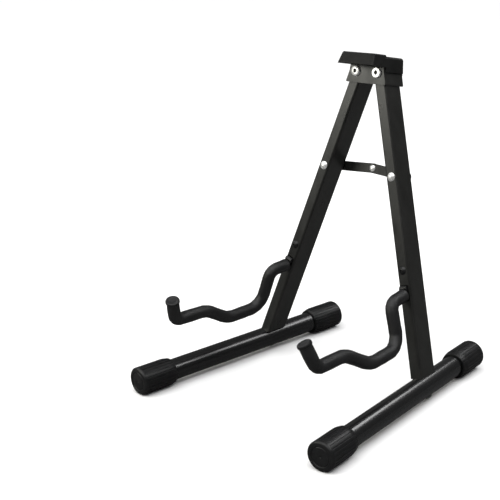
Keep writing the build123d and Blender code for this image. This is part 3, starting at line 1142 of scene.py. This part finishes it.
@dataclass
class HeadPad:
    """The moulded rubber boot on the head bracket, with its thick forward lip."""

    shop: PaintShop
    boot_half: float = 0.0230
    boot_bottom: float = 0.0012
    boot_top: float = 0.0164
    boot_wall: float = 0.0006
    bracket_top: float = 0.0141
    lip_half: float = 0.0226
    lip_reach: float = 0.0200
    lip_bottom: float = 0.0059
    lip_top: float = 0.0179
    lip_slope: float = 0.0040
    lip_taper: float = 0.0023
    lip_chamfer: float = 0.0014
    boot_taper: float = 0.0019
    lip_root: float = 0.0025
    rear_edge: float = 0.0026
    bolt_room: float = 0.0016
    skin: float = 0.0016
    rear_half: float = 0.0200
    rear_skirt: float = 0.0070

    def place(self) -> Matrix:
        """The head's own frame: X across, Y to the rear, Z up, on the bracket's front face.

        Returns:
            The placing matrix.
        """
        pivot, _ = joint("right_leg_fold")
        middle = Vector((0, pivot.y, pivot.z)) + FORWARD * (BRACKET_DEPTH / 2)
        return frame_matrix(middle, ACROSS, -FORWARD, UPWARD)

    def build_boot(self) -> Piece:
        """Models the boot: a block with soft upper edges, open below and in front.

        Returns:
            The boot.
        """
        back = BRACKET_DEPTH + self.skin
        half, bottom, top = self.boot_half, self.boot_bottom, self.boot_top
        boot = block("head_boot", (-half, 0, bottom), (half, back, top))
        taper_sides(boot, bottom, top, self.boot_taper)

        def soft(a: Vector, b: Vector) -> bool:
            """Whether an edge is a rear upright, or round the top but not in front."""
            at_rear = min(a.y, b.y) > back - NEAR
            at_top = min(a.z, b.z) > top - NEAR
            return (at_rear and abs(a.z - b.z) > NEAR) or (at_top and (at_rear or abs(a.y - b.y) > NEAR))

        bevel_chosen(boot, soft, self.rear_edge, 6)
        return boot

    def build_lip(self) -> Piece:
        """Models the lip: a thick shelf with a raked front face and chamfered ends.

        Returns:
            The lip.
        """
        half, reach = self.lip_half, self.lip_reach
        lip = block("head_lip", (-half, -reach, self.lip_bottom), (half, self.lip_root, self.lip_top))
        taper_sides(lip, self.lip_bottom, self.lip_top, self.lip_taper)
        front, top = NEAR - reach, self.lip_top - NEAR
        select_points(lip, lambda place: place.y < front and place.z > top)
        bpy.ops.transform.translate(value=(0, self.lip_slope, 0))
        leave_edit()

        def chamfered(a: Vector, b: Vector) -> bool:
            """Whether an edge is round the front face, or at an end of the top."""
            at_front = max(a.y, b.y) < front + self.lip_slope
            return at_front or (min(a.z, b.z) > top and abs(a.y - b.y) > NEAR)

        bevel_chosen(lip, chamfered, self.lip_chamfer, 4)
        return lip

    def build(self) -> None:
        """Models, places and dresses the pad."""
        pad = self.build_boot()
        combine(pad, self.build_lip(), "UNION")
        inner = self.boot_half - self.boot_wall
        depth, wide, rear = BRACKET_DEPTH, self.lip_half + 0.0074, self.rear_half
        core = block("bracket_room", (-inner, -0.001, -0.002), (inner, depth + 0.0001, self.bracket_top))
        taper_sides(core, self.boot_bottom, self.boot_top, self.boot_taper)
        bolts = block("bolt_room", (-wide, -0.0015, -0.004), (wide, self.bolt_room, self.lip_bottom))
        nuts = block("nut_room", (-rear, depth - 0.001, -0.002), (rear, depth + 0.01, self.rear_skirt))
        for cutter in (core, bolts, nuts):
            combine(pad, cutter, "DIFFERENCE")
        pad.name = "head_pad_moulding"
        bevel_edges(pad, 0.0003, angle=50)
        smooth(pad, 40)
        put_in_place(pad, self.place())
        self.shop.dress(pad, PAD_RUBBER)
        fit_out(pad, "head_pad", "head")


# -------- pivot bolts


@dataclass
class PivotBolt:
    """The two bright bolts that the legs turn on, each with a flat-topped head and a hexagon socket whose walls
    and floor are painted black as painted shade.
    """

    shop: PaintShop
    shank: float = 0.0030
    length: float = 0.0373
    head: float = 0.0054
    head_height: float = 0.0022
    crown: float = 0.0045
    across_flats: float = 0.0040
    socket_depth: float = 0.0014
    socket_turn: float = math.radians(12)
    tail_edge: float = 0.0005
    sides: int = 48
    # From the crown to the rim: the share of the way out, and the share of the head's height.
    shoulder: tuple = ((0.0, 1.0), (0.35, 0.93), (0.7, 0.74), (0.92, 0.45), (1.0, 0.12))

    def place(self) -> Matrix:
        """The right bolt's frame: Z to the rear along it, from under its head."""
        pivot, _ = joint("right_leg_fold")
        return frame_matrix(pivot + FORWARD * (BRACKET_DEPTH / 2), ACROSS, -UPWARD, -FORWARD)

    def build_blank(self) -> Piece:
        """Models the bolt without its socket.

        Returns:
            The bolt, from its head's crown to its tail.
        """
        fall = self.head - self.crown
        rings = [(self.crown + fall * out, -self.head_height * up) for out, up in self.shoulder]
        rings += [
            (self.head, 0.0),
            (self.shank, 0.0),
            (self.shank, self.length - self.tail_edge),
            (self.shank - self.tail_edge, self.length),
        ]
        return turned("right_bolt", rings, self.sides)

    def cut_socket(self, bolt: Piece) -> None:
        """Cuts the hexagon socket and paints its walls and floor black, a painted shade in the recess.

        Args:
            bolt: the bolt, about its own axis.
        """
        key = fresh(
            "hexagon_key",
            bpy.ops.mesh.primitive_cylinder_add,
            vertices=6,
            radius=self.across_flats / math.sqrt(3),
            depth=2 * self.socket_depth,
            location=(0, 0, -self.head_height),
            rotation=(0, 0, self.socket_turn),
        )
        bpy.ops.object.transform_apply()
        combine(bolt, key, "DIFFERENCE")
        self.shop.dress(bolt, BRIGHT_BOLT)
        # The black second slot on the socket's faces is painted shade, not a finish of the bolt.
        bolt.data.materials.append(self.shop.material(BLACK_OXIDE_AND_SOCKET_SHADE))
        reach = self.across_flats * 0.55
        select_faces(bolt, lambda f: self.in_socket(f, reach))
        for polygon in bolt.data.polygons:
            polygon.material_index = int(polygon.select)

    def in_socket(self, face, reach: float) -> bool:
        """Whether a face is a wall or the floor of the socket, the faces that get the painted shade."""
        below_crown = -self.head_height + 0.0001 < face.center.z < -0.0002
        return below_crown and face.center.xy.length < reach

    def build(self) -> None:
        """Models, mirrors and dresses both bolts."""
        bolt = self.build_blank()
        self.cut_socket(bolt)
        bevel_edges(bolt, 0.00015, angle=40)
        smooth(bolt, 30)
        put_in_place(bolt, self.place())
        for side, piece in both_sides(bolt):
            fit_out(piece, f"{side.value}_pivot_bolt", "head")


# -------- studio


def bearing(azimuth: float, elevation: float) -> Vector:
    """The unit direction from the stand to a place in the studio.

    Args:
        azimuth: the place's angle round the stand, from the front towards +X.
        elevation: its angle above the floor.

    Returns:
        The direction.
    """
    level = math.cos(elevation)
    return Vector((math.sin(azimuth) * level, -math.cos(azimuth) * level, math.sin(elevation)))


@dataclass(frozen=True)
class Softbox:
    """A soft studio light, aimed at the stand."""

    name: str
    azimuth: float
    elevation: float
    distance: float
    width: float
    height: float
    power: float
    tint: Tone = (1.0, 1.0, 1.0)


@dataclass
class Studio:
    """The pale floor, the soft lights and the camera."""

    position: Vector = field(default_factory=lambda: Vector((0.6792, -0.7683, 0.4685)))
    azimuth: float = math.radians(44.97)
    pitch: float = math.radians(17.43)
    roll: float = math.radians(-2.13)
    lens: float = 78.05
    shift: tuple[float, float] = (-0.0047, -0.0007)
    floor_size: float = 12.0
    floor_tones: tuple[float, float] = (0.93, 0.96)
    # The floor's tone in glossy reflections: a painted shade that darkens the floor where the black parts
    # mirror it.
    floor_reflection_shade: float = 0.12
    lights: tuple[Softbox, ...] = (
        Softbox("leg_fronts", -39, 21, 1.9, 1.2, 0.5, 15, tint=(1.0, 0.99, 0.90)),
        Softbox("left_rim", -100, 30, 2.0, 0.7, 1.3, 5),
        Softbox("tube_streak", 150, 42, 2.0, 2.0, 0.28, 16),
    )
    sky: float = 0.13
    sun_power: float = 3.1
    sun_angle: float = math.radians(75)
    sun_tilt: tuple[float, float, float] = (math.radians(18), 0.0, math.radians(20))

    def build_camera(self) -> None:
        """Makes the camera."""
        ahead = -bearing(self.azimuth, self.pitch)
        level = Vector((math.cos(self.azimuth), math.sin(self.azimuth), 0))
        above = level.cross(ahead)
        right = level * math.cos(self.roll) + above * math.sin(self.roll)
        up = above * math.cos(self.roll) - level * math.sin(self.roll)
        camera = fresh("studio_camera", bpy.ops.object.camera_add)
        camera.matrix_world = frame_matrix(self.position, right, up, -ahead)
        camera.data.sensor_width = 36.0
        camera.data.lens = self.lens
        camera.data.shift_x, camera.data.shift_y = self.shift
        camera.data.clip_start, camera.data.clip_end = 0.05, 50
        bpy.context.scene.camera = camera

    def build_floor(self) -> None:
        """Makes the floor, pale and matte; glossy rays see it in a dark tone, a painted shade in the
        reflections of it on the stand.
        """
        floor = fresh("studio_floor", bpy.ops.mesh.primitive_plane_add, size=self.floor_size)
        material = bpy.data.materials.new("studio_floor_paint")
        material.use_nodes = True
        tree = material.node_tree
        shader = tree.nodes["Principled BSDF"]
        set_sockets(shader, {"Roughness": 0.9, "Specular IOR Level": 0.0})
        clouds = add_node(tree, "TexNoise", {"Scale": 3.0})
        paint = add_node(tree, "ValToRGB")
        for stop, tone in zip(paint.color_ramp.elements, self.floor_tones):
            stop.color = (tone, tone, tone, 1)
        # A dark diffuse for glossy rays only: painted shade in the floor's reflections.
        dim = add_node(tree, "BsdfDiffuse", {"Color": (self.floor_reflection_shade,) * 3 + (1,)})
        join(tree, (clouds, "Fac", paint, "Fac"), (paint, "Color", shader, "Base Color"))
        split_by_ray(tree, "Is Glossy Ray", shader, dim, "Material Output")
        floor.data.materials.append(material)

    def build_lights(self) -> None:
        """Makes the pale surroundings, white behind the stand, the wide overhead light and the softboxes."""
        world = bpy.data.worlds.new("studio_air")
        bpy.context.scene.world = world
        world.use_nodes = True
        air = world.node_tree.nodes["Background"]
        set_sockets(air, {"Color": WHITE, "Strength": self.sky})
        backdrop = add_node(world.node_tree, "Background", {"Color": WHITE})
        split_by_ray(world.node_tree, "Is Camera Ray", air, backdrop, "World Output")
        sun = fresh("wide_overhead", bpy.ops.object.light_add, type="SUN", rotation=self.sun_tilt)
        sun.data.energy = self.sun_power
        sun.data.angle = self.sun_angle
        low, high = CAD_BOX
        aim = (low + high) / 2
        for box in self.lights:
            away = bearing(math.radians(box.azimuth), math.radians(box.elevation))
            place = aim + away * box.distance
            light = fresh(f"softbox_{box.name}", bpy.ops.object.light_add, type="AREA", location=place)
            light.rotation_euler = away.to_track_quat("Z", "Y").to_euler()
            light.data.shape = "RECTANGLE"
            light.data.size, light.data.size_y = box.width, box.height
            light.data.energy = box.power
            light.data.color = box.tint

    def build(self) -> None:
        """Sets up the studio."""
        self.build_camera()
        self.build_floor()
        self.build_lights()
        bpy.context.scene.view_settings.view_transform = "Standard"
        log.info("studio set up with %d softboxes", len(self.lights))


def main() -> None:
    """Builds the stand's looks around the frame, and the studio round the stand."""
    logging.basicConfig(level=logging.INFO, format="%(name)s: %(message)s")
    shop = PaintShop()
    shop.dress_cad_nodes()
    Studio().build()
    Feet(shop).build()
    ArmSleeve(shop).build()
    HeadPad(shop).build()
    PivotBolt(shop).build()


if __name__ == "__main__":
    main()
